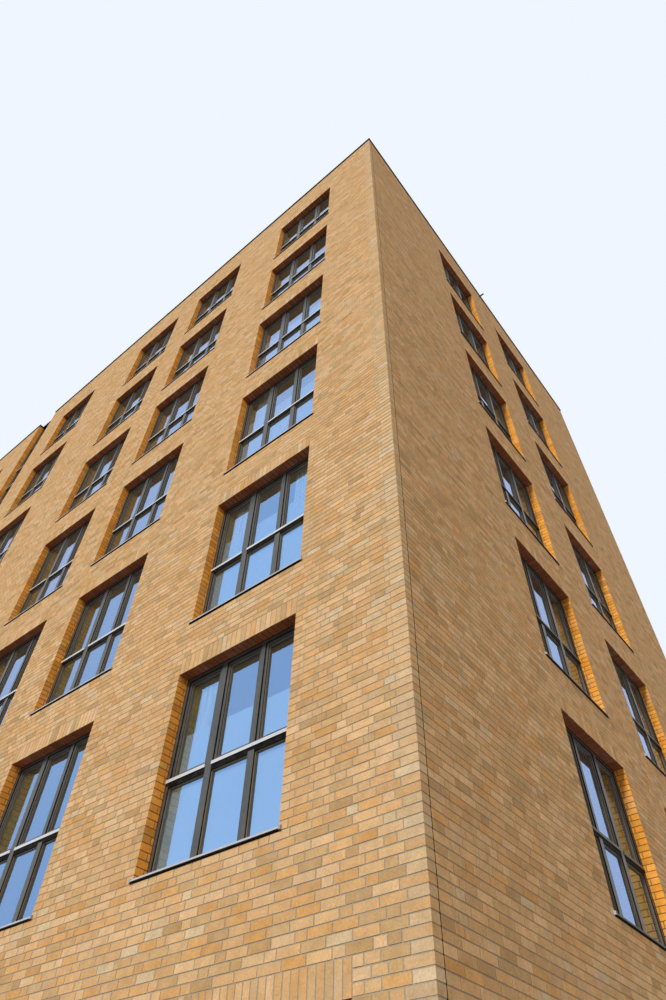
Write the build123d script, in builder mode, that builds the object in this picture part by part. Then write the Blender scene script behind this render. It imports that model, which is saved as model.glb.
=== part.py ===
"""Corner block of a seven-storey city hotel in buff brick, with the slot and the first bay of the
next block beside it. The street front faces -Y, the side street +X, and the party wall is at -X."""

import os

from build123d import *

os.makedirs("parts", exist_ok=True)

# Heights in brick courses, counted up from the pavement
course = 250 / 3
ground_head_courses = 35
first_sill_courses = 51
window_courses = 30
storey_courses = 40
upper_storeys = 6
parapet_courses = 19

# Plan, measured along each front from the street corner
wall_thickness = 450.0
window_width = 2000.0
corner_pier = 1509.0
wide_pier = 1743.0
twin_pier = 994.0
broad_pier = 2560.0
end_pier = 1331.0
slot_width = 1100.0
next_pier = 1597.5
side_near_pier = 3602.0
side_middle_pier = 1495.0
side_far_pier = 3583.0
back_columns = 3

# Floors
ground_slab = 150.0
floor_slab = 250.0
roof_slab = 300.0
sill_over_floor = 100.0

# Windows
reveal_depth = 150.0
frame_depth = 36.0
glass_thickness = 28.0
frame_face = 50.0
bottom_rail = 80.0
transom_face = 96.0
transom_height = 1092.0
mullion_place = 1258.0
mullion_face = 100.0
post_place = 603.0
post_face = 95.0
meeting_stile_place = 615.0
meeting_stile_face = 62.0
drip_height = 40.0
drip_projection = 12.0

# Window sills of folded aluminium
sill_projection = 25.0
sill_back_rise = 50.0
sill_front_rise = 35.0

# Shop windows and doors at street level
corner_shop_pier = 685.0
shop_mullion = 80.0
shop_bottom_rail = 150.0
shop_transom_level = 2250.0
front_shop_bays = 3
side_shop_bays = 5
door_bay = 2060.0
door_leaf_gap = 6.0
door_stile = 70.0
door_bottom_rail = 220.0
service_door_width = 1100.0
service_door_courses = 26
service_door_thickness = 60.0

# Slot between the two blocks
slot_setback = 220.0
slot_frame_face = 50.0
slot_ledge = 45.0
slot_ledge_height = 40.0

# Roof edge
coping_height = 50.0
coping_overhang = 30.0
spout_reach = 170.0
spout_diameter = 50.0
spout_wall = 4.0
spout_place = 6500.0
spout_drop = 85.0

# Movement joint in the side front
joint_offset = 115.0
joint_width = 16.0
joint_depth = 20.0

# Net curtains on tracks behind the glass
track_height = 30.0
track_depth = 24.0
track_offset = 40.0
curtain_thickness = 16.0
curtain_width = 300.0
curtain_inset = 352.0
curtain_clearance = 0.3
curtain_floor_gap = 30.0

# Levels worked out from the courses
ground_head = ground_head_courses * course
window_height = window_courses * course
storey_height = storey_courses * course
first_sill = first_sill_courses * course
sill_levels = [first_sill + storey * storey_height for storey in range(upper_storeys)]
top_head = sill_levels[-1] + window_height
brick_top = top_head + parapet_courses * course
floor_levels = [level - sill_over_floor for level in sill_levels]
roof_level = floor_levels[-1] + storey_height
service_door_height = service_door_courses * course

# Places along the fronts, as distances from the street corner
front_windows = [corner_pier]
for pier in (wide_pier, twin_pier, broad_pier):
    front_windows.append(front_windows[-1] + window_width + pier)
block_end = front_windows[-1] + window_width + end_pier
next_start = block_end + slot_width
next_window = next_start + next_pier
length = next_window + window_width + next_pier
side_windows = [side_near_pier, side_near_pier + window_width + side_middle_pier]
depth = side_windows[-1] + window_width + side_far_pier
back_pier = (length - back_columns * window_width) / (back_columns + 1)
back_windows = [back_pier + column * (back_pier + window_width) for column in range(back_columns)]
service_door_middle = back_windows[0] + window_width + back_pier / 2

# Shop openings line up with the windows over them
corner_shop_width = 2 * (corner_pier - corner_shop_pier) + window_width
shop_margin = (corner_shop_width - window_width) / 2
front_shops = [
    (corner_shop_pier, corner_shop_pier + corner_shop_width),
    (front_windows[1], front_windows[2] + window_width),
    (front_windows[3] - shop_margin, front_windows[3] + window_width + shop_margin),
    (next_window - shop_margin, next_window + window_width + shop_margin),
]
side_shop = (side_windows[0], side_windows[1] + window_width)

# Faces of the block: the origin is under the middle of all of it, spout included, at pavement level
right_face = (length + coping_overhang - spout_reach) / 2
left_face = right_face - length
block_middle = (right_face + left_face) / 2
front_face = -depth / 2
back_face = depth / 2

# Drawing planes: x runs along the front away from the street corner's edge, y is up
front_plane = Plane(origin=(right_face, front_face, 0), x_dir=(1, 0, 0), z_dir=(0, -1, 0))
side_plane = Plane(origin=(right_face, front_face, 0), x_dir=(0, 1, 0), z_dir=(1, 0, 0))
back_plane = Plane(origin=(right_face, back_face, 0), x_dir=(-1, 0, 0), z_dir=(0, 1, 0))


def window_centres(starts, direction, levels=sill_levels):
    """Middles of the windows whose near jambs are at these distances, on each of the levels."""
    middle_up = window_height / 2
    half = window_width / 2
    return [(direction * (start + half), level + middle_up) for start in starts for level in levels]


def save(piece, name):
    """Label a finished piece and write it."""
    piece.part.label = name
    export_step(piece.part, f"parts/{name}.step")


front_centres = window_centres(front_windows, -1)
next_centres = window_centres([next_window], -1)
side_centres = window_centres(side_windows, 1)
back_centres = window_centres(back_windows, 1)


# Outer walls with their window holes

def upper_wall(plane, start, end, direction, centres, base):
    """One wall from its base level to the parapet's top, with holes for windows."""
    middle = direction * (start + end) / 2
    with BuildPart() as wall:
        with BuildSketch(plane):
            with Locations((middle, (base + brick_top) / 2)):
                Rectangle(end - start, brick_top - base)
            with Locations(*centres):
                Rectangle(window_width, window_height, mode=Mode.SUBTRACT)
        extrude(amount=-wall_thickness)
    return wall


def movement_joint(base, top):
    """The upright strip of the movement joint, near the corner in the side front."""
    with BuildPart() as strip:
        with BuildSketch(side_plane):
            with Locations((joint_offset, (base + top) / 2)):
                Rectangle(joint_width, top - base)
        extrude(amount=-joint_depth)
    return strip


front_upper = upper_wall(front_plane, 0, block_end, -1, front_centres, ground_head)
with BuildPart() as front_wall:
    add(front_upper.part)
    add(movement_joint(ground_head, brick_top).part, mode=Mode.SUBTRACT)
save(front_wall, "front_wall")

next_block_wall = upper_wall(front_plane, next_start, length, -1, next_centres, ground_head)
save(next_block_wall, "next_block_wall")

side_wall = upper_wall(
    side_plane, wall_thickness, depth - wall_thickness, 1, side_centres, ground_head
)
save(side_wall, "side_wall")

back_shell = upper_wall(back_plane, 0, length, 1, back_centres, 0)
with BuildPart() as back_wall:
    add(back_shell.part)
    with BuildSketch(back_plane):
        with Locations((service_door_middle, service_door_height / 2)):
            Rectangle(service_door_width, service_door_height)
    extrude(amount=-wall_thickness, mode=Mode.SUBTRACT)
save(back_wall, "back_wall")

with BuildPart() as party_wall:
    with BuildSketch(side_plane.offset(-length)):
        with Locations((depth / 2, brick_top / 2)):
            Rectangle(depth - 2 * wall_thickness, brick_top)
    extrude(amount=wall_thickness)
save(party_wall, "party_wall")


# Brick piers between the shop windows

def piers(plane, direction, stretches):
    """Street-level brickwork between openings, one solid to each stretch."""
    with BuildPart() as row:
        with BuildSketch(plane):
            for start, end in stretches:
                with Locations((direction * (start + end) / 2, ground_head / 2)):
                    Rectangle(end - start, ground_head)
        extrude(amount=-wall_thickness)
    return row


front_pier_row = piers(front_plane, -1, [
    (0, front_shops[0][0]),
    (front_shops[0][1], front_shops[1][0]),
    (front_shops[1][1], front_shops[2][0]),
    (front_shops[2][1], block_end),
    (next_start, front_shops[3][0]),
    (front_shops[3][1], length),
])
with BuildPart() as front_ground_piers:
    add(front_pier_row.part)
    add(movement_joint(0, ground_head).part, mode=Mode.SUBTRACT)
save(front_ground_piers, "front_ground_piers")

side_ground_piers = piers(side_plane, 1, [
    (wall_thickness, side_shop[0]),
    (side_shop[1], depth - wall_thickness),
])
save(side_ground_piers, "side_ground_piers")

save(movement_joint(0, brick_top), "movement_joint_seal")


# Floors and roof, with a tongue that closes the slot

slot_back = slot_setback + frame_depth + glass_thickness


def slab(top, thickness):
    """A floor between the walls, reaching forward to the glazing of the slot."""
    with BuildPart() as floor:
        with BuildSketch(Plane.XY.offset(top - thickness)):
            with Locations((block_middle, 0)):
                Rectangle(length - 2 * wall_thickness, depth - 2 * wall_thickness)
            tongue_middle = right_face - (block_end + next_start) / 2
            with Locations((tongue_middle, front_face + (slot_back + wall_thickness) / 2)):
                Rectangle(slot_width, wall_thickness - slot_back)
        extrude(amount=thickness)
    return floor


save(slab(ground_slab, ground_slab), "ground_floor")
floor_names = ("first_floor", "second_floor", "third_floor", "fourth_floor", "fifth_floor", "sixth_floor")
for floor_name, level in zip(floor_names, floor_levels):
    save(slab(level, floor_slab), floor_name)
save(slab(roof_level, roof_slab), "roof")

with BuildPart() as slot_parapet:
    with BuildSketch(front_plane.offset(-slot_back)):
        with Locations((-(block_end + next_start) / 2, (roof_level + brick_top) / 2)):
            Rectangle(slot_width, brick_top - roof_level)
    extrude(amount=slot_back - wall_thickness)
save(slot_parapet, "slot_parapet")


# Window frames, measured from the jamb nearer the corner: a full-height mullion, a post under the
# transom and the meeting stiles of a pair of casements over it

lower_row = (bottom_rail, transom_height - transom_face / 2)
upper_row = (transom_height + transom_face / 2, window_height - frame_face)
far_light = (mullion_place + mullion_face, window_width - frame_face)
lights = [
    ((frame_face, post_place), lower_row),
    ((post_place + post_face, mullion_place), lower_row),
    (far_light, lower_row),
    ((frame_face, meeting_stile_place), upper_row),
    ((meeting_stile_place + meeting_stile_face, mullion_place), upper_row),
    (far_light, upper_row),
]


def window_pattern(direction):
    """One window frame with its six lights, drawn about the window's middle."""
    with BuildSketch() as pattern:
        Rectangle(window_width, window_height)
        for (near, far), (low, high) in lights:
            across = direction * ((near + far) / 2 - window_width / 2)
            with Locations((across, (low + high) / 2 - window_height / 2)):
                Rectangle(far - near, high - low, mode=Mode.SUBTRACT)
    return pattern


def window_frames(plane, direction, centres):
    """The frames of one front, set back behind the brick."""
    pattern = window_pattern(direction).sketch
    with BuildPart() as frames:
        with BuildSketch(plane.offset(-reveal_depth)):
            with Locations(*centres):
                add(pattern)
        extrude(amount=-frame_depth)
    return frames


def window_glass(plane, centres):
    """One sheet of sealed glazing behind each frame."""
    with BuildPart() as sheets:
        with BuildSketch(plane.offset(-reveal_depth - frame_depth)):
            with Locations(*centres):
                Rectangle(window_width, window_height)
        extrude(amount=-glass_thickness)
    return sheets


def window_sills(plane, centres):
    """Sills that fall from the frame out over the brick face."""
    with BuildPart() as sills:
        for across, up in centres:
            start = plane * Location((across - window_width / 2, up - window_height / 2, 0))
            section = Plane(
                origin=start.position, x_dir=plane.z_dir, z_dir=plane.x_dir
            )
            rise = 1 if section.y_dir.Z > 0 else -1
            with BuildSketch(section):
                Polygon(
                    (-reveal_depth, 0),
                    (-reveal_depth, rise * sill_back_rise),
                    (sill_projection, rise * sill_front_rise),
                    (sill_projection, 0),
                    align=None,
                )
            extrude(amount=window_width)
    return sills


def drip_bars(plane, direction, centres):
    """Bright weather bars on the transoms, broken by the mullion."""
    level = transom_height + (transom_face - drip_height - window_height) / 2
    with BuildPart() as bars:
        with BuildSketch(plane.offset(-reveal_depth)):
            with Locations(*centres):
                for near, far in ((0, mullion_place), (mullion_place + mullion_face, window_width)):
                    with Locations((direction * (near + far - window_width) / 2, level)):
                        Rectangle(far - near, drip_height)
        extrude(amount=drip_projection)
    return bars


window_sets = (
    ("front", front_plane, -1, front_centres),
    ("next_block", front_plane, -1, next_centres),
    ("side", side_plane, 1, side_centres),
    ("back", back_plane, 1, back_centres),
)
for place, plane, direction, centres in window_sets:
    save(window_frames(plane, direction, centres), f"{place}_window_frames")
    save(window_glass(plane, centres), f"{place}_window_glass")
    save(window_sills(plane, centres), f"{place}_window_sills")
    save(drip_bars(plane, direction, centres), f"{place}_drip_bars")


# Shop windows

def shop_lights(width, count, middle_door):
    """Clear widths and middles of the bays of one shop window, left to right."""
    clear = width - 2 * frame_face - (count - 1) * shop_mullion
    sizes = [clear / count] * count
    if middle_door:
        side_bay = (clear - door_bay) / (count - 1)
        sizes = [side_bay] * count
        sizes[count // 2] = door_bay
    bays = []
    edge = -width / 2 + frame_face
    for size in sizes:
        bays.append((edge + size / 2, size))
        edge += size + shop_mullion
    return bays


def cut_shop_bay(middle, size, foot):
    """The light over the foot rail and the one over the transom, in one bay."""
    upper_start = shop_transom_level + shop_mullion
    with Locations((middle, (foot + shop_transom_level) / 2)):
        Rectangle(size, shop_transom_level - foot, mode=Mode.SUBTRACT)
    with Locations((middle, (upper_start + ground_head - frame_face) / 2)):
        Rectangle(size, ground_head - frame_face - upper_start, mode=Mode.SUBTRACT)


def shop_frame(start, end, direction, count, middle_door):
    """One shop window's frame, drawn on the plane in use."""
    centre = direction * (start + end) / 2
    with Locations((centre, ground_head / 2)):
        Rectangle(end - start, ground_head)
    for number, (middle, size) in enumerate(shop_lights(end - start, count, middle_door)):
        is_door = middle_door and number == count // 2
        cut_shop_bay(centre + middle, size, 0 if is_door else shop_bottom_rail)


shops = [
    (front_plane, front_shops[0], -1, front_shop_bays, False),
    (front_plane, front_shops[1], -1, front_shop_bays, True),
    (front_plane, front_shops[2], -1, front_shop_bays, False),
    (front_plane, front_shops[3], -1, front_shop_bays, False),
    (side_plane, side_shop, 1, side_shop_bays, False),
]
with BuildPart() as shop_frames:
    for plane, (start, end), direction, count, middle_door in shops:
        with BuildSketch(plane.offset(-reveal_depth)):
            shop_frame(start, end, direction, count, middle_door)
        extrude(amount=-frame_depth)
save(shop_frames, "shop_frames")

with BuildPart() as shop_glass:
    for plane, (start, end), direction, count, middle_door in shops:
        with BuildSketch(plane.offset(-reveal_depth - frame_depth)):
            with Locations((direction * (start + end) / 2, ground_head / 2)):
                Rectangle(end - start, ground_head)
        extrude(amount=-glass_thickness)
save(shop_glass, "shop_glass")

# Entrance doors: a pair of glazed leaves in the middle bay
entrance_middle = -(front_shops[1][0] + front_shops[1][1]) / 2
leaf_width = (door_bay - door_leaf_gap) / 2
leaf_height = shop_transom_level
with BuildPart() as entrance_doors:
    with BuildSketch(front_plane.offset(-reveal_depth)):
        with Locations((entrance_middle, leaf_height / 2)):
            with GridLocations(leaf_width + door_leaf_gap, 1, 2, 1):
                Rectangle(leaf_width, leaf_height)
                with Locations((0, (door_bottom_rail - door_stile) / 2)):
                    Rectangle(
                        leaf_width - 2 * door_stile,
                        leaf_height - door_stile - door_bottom_rail,
                        mode=Mode.SUBTRACT,
                    )
    extrude(amount=-frame_depth)
save(entrance_doors, "entrance_doors")

with BuildPart() as service_door:
    with BuildSketch(back_plane.offset(-reveal_depth)):
        with Locations((service_door_middle, service_door_height / 2)):
            Rectangle(service_door_width, service_door_height)
    extrude(amount=-service_door_thickness)
save(service_door, "service_door")


# The slot: a ladder of aluminium with glass lights, metal panels over the heads and ledges

slot_middle = -(block_end + next_start) / 2
slot_clear = slot_width - 2 * slot_frame_face
heads = [ground_head] + [level + window_height for level in sill_levels]
panel_stretches = list(zip(heads, sill_levels + [brick_top]))
glass_stretches = [(0, ground_head)] + [(level, level + window_height) for level in sill_levels]
transom_levels = [level + transom_height for level in sill_levels]

with BuildPart() as slot_frame:
    with BuildSketch(front_plane.offset(-slot_setback)):
        with Locations((slot_middle, brick_top / 2)):
            Rectangle(slot_width, brick_top)
        for low, high in glass_stretches[1:]:
            middle_rail = low + transom_height
            for foot, head in ((low, middle_rail), (middle_rail, high)):
                with Locations((slot_middle, (foot + head) / 2)):
                    Rectangle(slot_clear, head - foot - slot_frame_face, mode=Mode.SUBTRACT)
        with Locations((slot_middle, (ground_slab + ground_head) / 2)):
            Rectangle(slot_clear, ground_head - ground_slab - slot_frame_face, mode=Mode.SUBTRACT)
        for low, high in panel_stretches:
            with Locations((slot_middle, (low + high) / 2)):
                Rectangle(slot_clear, high - low - slot_frame_face, mode=Mode.SUBTRACT)
    extrude(amount=-frame_depth)
save(slot_frame, "slot_frame")

with BuildPart() as slot_ledges:
    with BuildSketch(front_plane.offset(-slot_setback)):
        for level in sill_levels + transom_levels:
            with Locations((slot_middle, level)):
                Rectangle(slot_width, slot_ledge_height)
    extrude(amount=slot_ledge)
save(slot_ledges, "slot_ledges")

with BuildPart() as slot_glass:
    with BuildSketch(front_plane.offset(-slot_setback - frame_depth)):
        for low, high in glass_stretches:
            with Locations((slot_middle, (low + high) / 2)):
                Rectangle(slot_width, high - low)
    extrude(amount=-glass_thickness)
save(slot_glass, "slot_glass")

with BuildPart() as slot_panels:
    with BuildSketch(front_plane.offset(-slot_setback - frame_depth)):
        for low, high in panel_stretches:
            with Locations((slot_middle, (low + high) / 2)):
                Rectangle(slot_width, high - low)
    extrude(amount=-glass_thickness)
save(slot_panels, "slot_panels")


# Metal coping, one length to each stretch of parapet

def coping(x_low, x_high, y_low, y_high):
    """A flat cap between two corners in plan."""
    with BuildPart() as cap:
        with BuildSketch(Plane.XY.offset(brick_top)):
            with Locations(((x_low + x_high) / 2, (y_low + y_high) / 2)):
                Rectangle(x_high - x_low, y_high - y_low)
        extrude(amount=coping_height)
    return cap


cap_depth = wall_thickness + 2 * coping_overhang
front_edge = front_face - coping_overhang
back_edge = back_face + coping_overhang
front_inner = front_edge + cap_depth
back_inner = back_edge - cap_depth
main_cap_end = right_face - block_end - coping_overhang
next_cap_end = right_face - next_start + coping_overhang
left_edge = left_face - coping_overhang
right_edge = right_face + coping_overhang
caps = {
    "front_coping": (main_cap_end, right_edge, front_edge, front_inner),
    "next_block_coping": (left_edge, next_cap_end, front_edge, front_inner),
    "slot_coping": (next_cap_end, main_cap_end, front_face + slot_setback - coping_overhang, front_inner),
    "side_coping": (right_edge - cap_depth, right_edge, front_inner, back_inner),
    "back_coping": (left_edge, right_edge, back_inner, back_edge),
    "party_wall_coping": (left_edge, left_edge + cap_depth, front_inner, back_inner),
}
for cap_name, corners in caps.items():
    save(coping(*corners), cap_name)

# A short spout in the side parapet, just under the coping
with BuildPart() as overflow_spout:
    with BuildSketch(side_plane):
        with Locations((spout_place, brick_top - spout_drop)):
            Circle(spout_diameter / 2)
            Circle(spout_diameter / 2 - spout_wall, mode=Mode.SUBTRACT)
    extrude(amount=spout_reach)
save(overflow_spout, "overflow_spout")


# Net curtains: the corner rooms of the lower storeys have theirs drawn aside

track_place = -reveal_depth - frame_depth - glass_thickness - track_offset
far_stack = -(front_windows[0] + window_width - curtain_inset)
near_stack = -(front_windows[0] + curtain_inset)
curtain_stacks = ((0, far_stack), (1, far_stack), (1, near_stack), (2, far_stack))
curtained_storeys = sorted({storey for storey, middle in curtain_stacks})
corner_window_middle = -(front_windows[0] + window_width / 2)

with BuildPart() as curtain_tracks:
    with BuildSketch(front_plane.offset(track_place)):
        for storey in curtained_storeys:
            head = sill_levels[storey] + window_height
            with Locations((corner_window_middle, head - track_height / 2)):
                Rectangle(window_width, track_height)
    extrude(amount=-track_depth)
save(curtain_tracks, "curtain_tracks")

curtain_front = track_place - (track_depth - curtain_thickness) / 2
with BuildPart() as net_curtains:
    with BuildSketch(front_plane.offset(curtain_front)):
        for storey, middle in curtain_stacks:
            top = sill_levels[storey] + window_height - track_height - curtain_clearance
            foot = sill_levels[storey] + curtain_floor_gap
            with Locations((middle, (top + foot) / 2)):
                Rectangle(curtain_width, top - foot)
    extrude(amount=-curtain_thickness)
save(net_curtains, "net_curtains")
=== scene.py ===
"""Looks of the corner block of a city hotel: its bricks, window joinery, copings, roof and net
curtains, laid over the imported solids. Sizes are in metres, in the part's own frame."""

import math
import random

import bmesh
import bpy
import numpy as np
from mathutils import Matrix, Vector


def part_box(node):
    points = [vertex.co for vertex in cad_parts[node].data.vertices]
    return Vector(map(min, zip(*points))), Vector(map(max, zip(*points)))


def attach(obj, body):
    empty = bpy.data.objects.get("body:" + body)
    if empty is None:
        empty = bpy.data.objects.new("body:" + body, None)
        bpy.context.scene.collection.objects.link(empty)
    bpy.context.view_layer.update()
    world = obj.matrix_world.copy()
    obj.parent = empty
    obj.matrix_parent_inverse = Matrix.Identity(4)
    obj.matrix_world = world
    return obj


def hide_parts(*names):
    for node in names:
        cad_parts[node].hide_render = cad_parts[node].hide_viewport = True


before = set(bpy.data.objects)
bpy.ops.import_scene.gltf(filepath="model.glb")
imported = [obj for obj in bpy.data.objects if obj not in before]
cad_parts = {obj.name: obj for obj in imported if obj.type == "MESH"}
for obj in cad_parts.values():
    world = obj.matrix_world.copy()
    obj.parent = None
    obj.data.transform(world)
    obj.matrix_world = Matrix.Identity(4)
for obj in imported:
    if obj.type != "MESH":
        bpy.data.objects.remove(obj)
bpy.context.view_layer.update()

scene = bpy.context.scene

# Sizes that follow the part's source
COURSE = 0.25 / 3
WALL_THICKNESS = 0.45
WINDOW_WIDTH = 2.0
WINDOW_COURSES = 30
STOREY_COURSES = 40
FIRST_SILL_COURSES = 51
STOREYS = 6
SHOP_HEAD_COURSES = 35
SOLDIER_COURSES = 3
WINDOW_HEIGHT = WINDOW_COURSES * COURSE
SILL_ROWS = [FIRST_SILL_COURSES + storey * STOREY_COURSES for storey in range(STOREYS)]
SILLS = [row * COURSE for row in SILL_ROWS]
REVEAL = 0.15
FRAME_DEPTH = 0.036
FRAME_BACK = REVEAL + FRAME_DEPTH
GLASS_THICKNESS = 0.028
FRAME_FACE = 0.05
LOWER_ROW = (0.08, 1.044)
UPPER_ROW = (1.14, WINDOW_HEIGHT - FRAME_FACE)
TRANSOM_HEIGHT = 1.092
MULLION = (1.258, 1.358)
POST = (0.603, 0.698)
MEETING_STILE = (0.615, 0.677)
SLOT_SETBACK = 0.22
DOOR_COURSES = 26
DOOR_WIDTH = 1.1

# The block's faces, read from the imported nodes
front_low, front_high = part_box("front_wall")
back_low, back_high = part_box("back_wall")
RIGHT, FRONT, BRICK_TOP = front_high.x, front_low.y, front_high.z
LEFT, BACK = back_low.x, back_high.y
BLOCK_END = RIGHT - front_low.x
NEXT_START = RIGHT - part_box("next_block_wall")[1].x
SLOT = (BLOCK_END, NEXT_START)
LENGTH = RIGHT - LEFT
DEPTH = BACK - FRONT
COURSES = round(BRICK_TOP / COURSE)
SHOP_HEAD = SHOP_HEAD_COURSES * COURSE
ROOF_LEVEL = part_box("roof")[1].z

# Openings of each front, as distances from the street corner's edge
STREET_WINDOWS = (1.509, 5.252, 8.246, 12.806)
NEXT_WINDOW = 18.8345
SIDE_WINDOWS = (3.602, 7.097)
BACK_COLUMNS = 3
BACK_PIER = (LENGTH - BACK_COLUMNS * WINDOW_WIDTH) / (BACK_COLUMNS + 1)
BACK_WINDOWS = [BACK_PIER + column * (BACK_PIER + WINDOW_WIDTH) for column in range(BACK_COLUMNS)]
DOOR_START = 1.5 * BACK_PIER + WINDOW_WIDTH - DOOR_WIDTH / 2
SERVICE_DOOR = (DOOR_START, DOOR_START + DOOR_WIDTH)
STREET_SHOPS = ((0.685, 4.333), (5.252, 10.246), (11.982, 15.63))
NEXT_SHOP = (18.0105, 21.6585)
SIDE_SHOP = (3.602, 9.097)

# Street level
SHOP_MULLION = 0.08
SHOP_FOOT = 0.15
SHOP_TRANSOM = 2.25
DOOR_BAY = 2.06
DOOR_STILE = 0.07
DOOR_FOOT = 0.22

# Brickwork
JOINT = 0.012
PROUD = 0.004
STRETCHER = 0.25
HEADER = 0.125
BRICK_LENGTH = 0.24
BRICK_WIDTH = 0.115
THREE_QUARTER = 0.175
JAMB_CLOSERS = (0.161, 0.1)
HEADER_CHANCE = 0.22
CLEAR_OF_JOINT = 0.045
SHORTEST_BRICK = 0.07
NO_BRICK = 0.02
SLACK = 0.0008
EMBEDDED = 0.001
JAMB_DEPTH = REVEAL - 0.004
SHOWN = {"butt": 0, "corner": 1, "jamb": 2, "return": 2}
BUTT = ("butt", 0.0, EMBEDDED)
CLOSER_DEPTH = BRICK_WIDTH - 0.01
CLOSER_WIDTH = 0.05
MAP_SHIFT = 0.4
MAP_SEAM = 0.005
MOVEMENT_JOINT = (0.107, 0.123)
PLASTER_START = 0.23

UP = np.array([0.0, 0.0, 1.0])


def moved(span, by):
    """A stretch shifted along its axis."""
    return (span[0] + by, span[1] + by)


def widened(span, by):
    """A stretch made longer by this much at both ends."""
    return (span[0] - by, span[1] + by)


def rectangle(u, z):
    """The corners of a rectangle, from its near foot on."""
    return [(u[0], z[0]), (u[1], z[0]), (u[1], z[1]), (u[0], z[1])]


class Front:
    """One outer face of the block: u runs along it from its corner, n points out and z is up."""

    def __init__(self, corner, along, out):
        self.corner = np.array(corner, float)
        self.along = np.array(along, float)
        self.out = np.array(out, float)
        self.mirrored = np.dot(np.cross(self.along, UP), self.out) < 0

    def place(self, points):
        """Points given as u, n and z, in the part's frame."""
        u, n, z = points[..., 0:1], points[..., 1:2], points[..., 2:3]
        return self.corner + u * self.along + n * self.out + z * UP


street = Front((RIGHT, FRONT, 0), (-1, 0, 0), (0, -1, 0))
side = Front((RIGHT, FRONT, 0), (0, 1, 0), (1, 0, 0))
back = Front((RIGHT, BACK, 0), (-1, 0, 0), (0, 1, 0))
party = Front((LEFT, FRONT, 0), (0, 1, 0), (-1, 0, 0))


# Materials

def colour(red, green, blue):
    """A linear colour from 0 to 255 screen values."""
    return tuple((value / 255) ** 2.2 for value in (red, green, blue)) + (1.0,)


class Paint:
    """A material or a world in the making, with short calls to add and join its nodes."""

    def __init__(self, name, made_in=bpy.data.materials, output="OutputMaterial"):
        self.made = made_in.new(name)
        self.made.use_nodes = True
        self.tree = self.made.node_tree
        self.tree.nodes.clear()
        self.output = self.add(output)
        self.place = self.add("TexCoord").outputs["Object"]

    def add(self, kind, inputs=None, **settings):
        """Adds a shader node, sets it up, and joins or fills its inputs."""
        node = self.tree.nodes.new("ShaderNode" + kind)
        for key, value in settings.items():
            setattr(node, key, value)
        for key, value in (inputs or {}).items():
            if isinstance(value, bpy.types.NodeSocket):
                self.tree.links.new(value, node.inputs[key])
            else:
                node.inputs[key].default_value = value
        return node

    def noise(self, scale, detail=4.0, stretch=None):
        """Fractal noise of so many features to the metre, its axes scaled by stretch."""
        place = self.place
        if stretch:
            place = self.add("Mapping", {"Vector": place, "Scale": stretch}).outputs["Vector"]
        return self.add("TexNoise", {"Vector": place, "Scale": scale, "Detail": detail}).outputs["Fac"]

    def span(self, value, low, high, start=0.3, end=0.7):
        """A value brought from start..end to low..high."""
        inputs = {"Value": value, "From Min": start, "From Max": end, "To Min": low, "To Max": high}
        return self.add("MapRange", inputs).outputs["Result"]

    def math(self, operation, first, second=0.0):
        """Arithmetic on two values."""
        return self.add("Math", {0: first, 1: second}, operation=operation).outputs[0]

    def mix(self, share, first, second, blend="MIX"):
        """One colour over another."""
        inputs = {0: share, 6: first, 7: second}
        return self.add("Mix", inputs, data_type="RGBA", blend_type=blend).outputs[2]

    def veil(self, value, most, under, over, start=0.3, end=0.7):
        """One colour with another over it, from none to this share as a value goes from start to end."""
        return self.mix(self.span(value, 0.0, most, start, end), under, over)

    def shaded(self, tone, shade):
        """A colour made lighter or darker by a value."""
        grey = self.add("CombineColor", {0: shade, 1: shade, 2: shade}).outputs[0]
        return self.mix(1.0, tone, grey, "MULTIPLY")

    def bump(self, height, distance, strength=1.0):
        """A normal that shows this height, in metres."""
        inputs = {"Height": height, "Distance": distance, "Strength": strength}
        return self.add("Bump", inputs).outputs["Normal"]

    def upward(self):
        """How far the surface faces up: 1 for a floor and -1 for a ceiling."""
        normal = self.add("NewGeometry").outputs["Normal"]
        return self.add("SeparateXYZ", {0: normal}).outputs[2]

    def looked_at(self):
        """1 for what is seen, also in a mirror or through glass, and 0 for what only lights the rest."""
        rays = self.add("LightPath").outputs
        seen = self.math("ADD", rays["Is Camera Ray"], rays["Is Glossy Ray"])
        return self.math("ADD", seen, rays["Is Transmission Ray"])

    def shader(self, kind, **inputs):
        """A shader with its inputs filled by name."""
        named = {key.replace("_", " "): value for key, value in inputs.items()}
        return self.add(kind, named).outputs[0]

    def blend(self, share, first, second):
        """One shader over another."""
        return self.add("MixShader", {0: share, 1: first, 2: second}).outputs[0]

    def surface(self, **inputs):
        """Ends the material in one principled shader."""
        return self.finish(self.shader("BsdfPrincipled", **inputs))

    def finish(self, shader):
        """Joins a shader to the output."""
        self.tree.links.new(shader, self.output.inputs["Surface"])
        return self.made


def brick_paint():
    """Fired clay in each brick's own colour, with painted shade on faces in reveals and under lintels,
    mottled, specked and sandy.
    """
    paint = Paint("brick")
    # The fired attribute holds each face's clay colour, with painted shade in reveals and under lintels
    own = paint.add("Attribute", attribute_name="fired").outputs["Color"]
    cloud = paint.span(paint.noise(9.0), 0.88, 1.1)
    mottle = paint.span(paint.noise(55.0, 6.0), 0.84, 1.12)
    toned = paint.shaded(own, paint.math("MULTIPLY", cloud, mottle))
    specked = paint.veil(paint.noise(240.0, 2.0), 0.55, toned, colour(88, 62, 40), 0.66, 0.74)
    faced = paint.veil(paint.noise(3.5, 8.0), 0.16, specked, colour(206, 196, 178), 0.5, 0.72)
    grain = paint.noise(420.0, 3.0)
    dents = paint.noise(70.0, 5.0)
    height = paint.math("ADD", grain, paint.math("MULTIPLY", dents, 1.6))
    rough = paint.span(mottle, 0.72, 0.92, 0.84, 1.12)
    return paint.surface(Base_Color=faced, Roughness=rough, Normal=paint.bump(height, 0.0011, 0.8))


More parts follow.
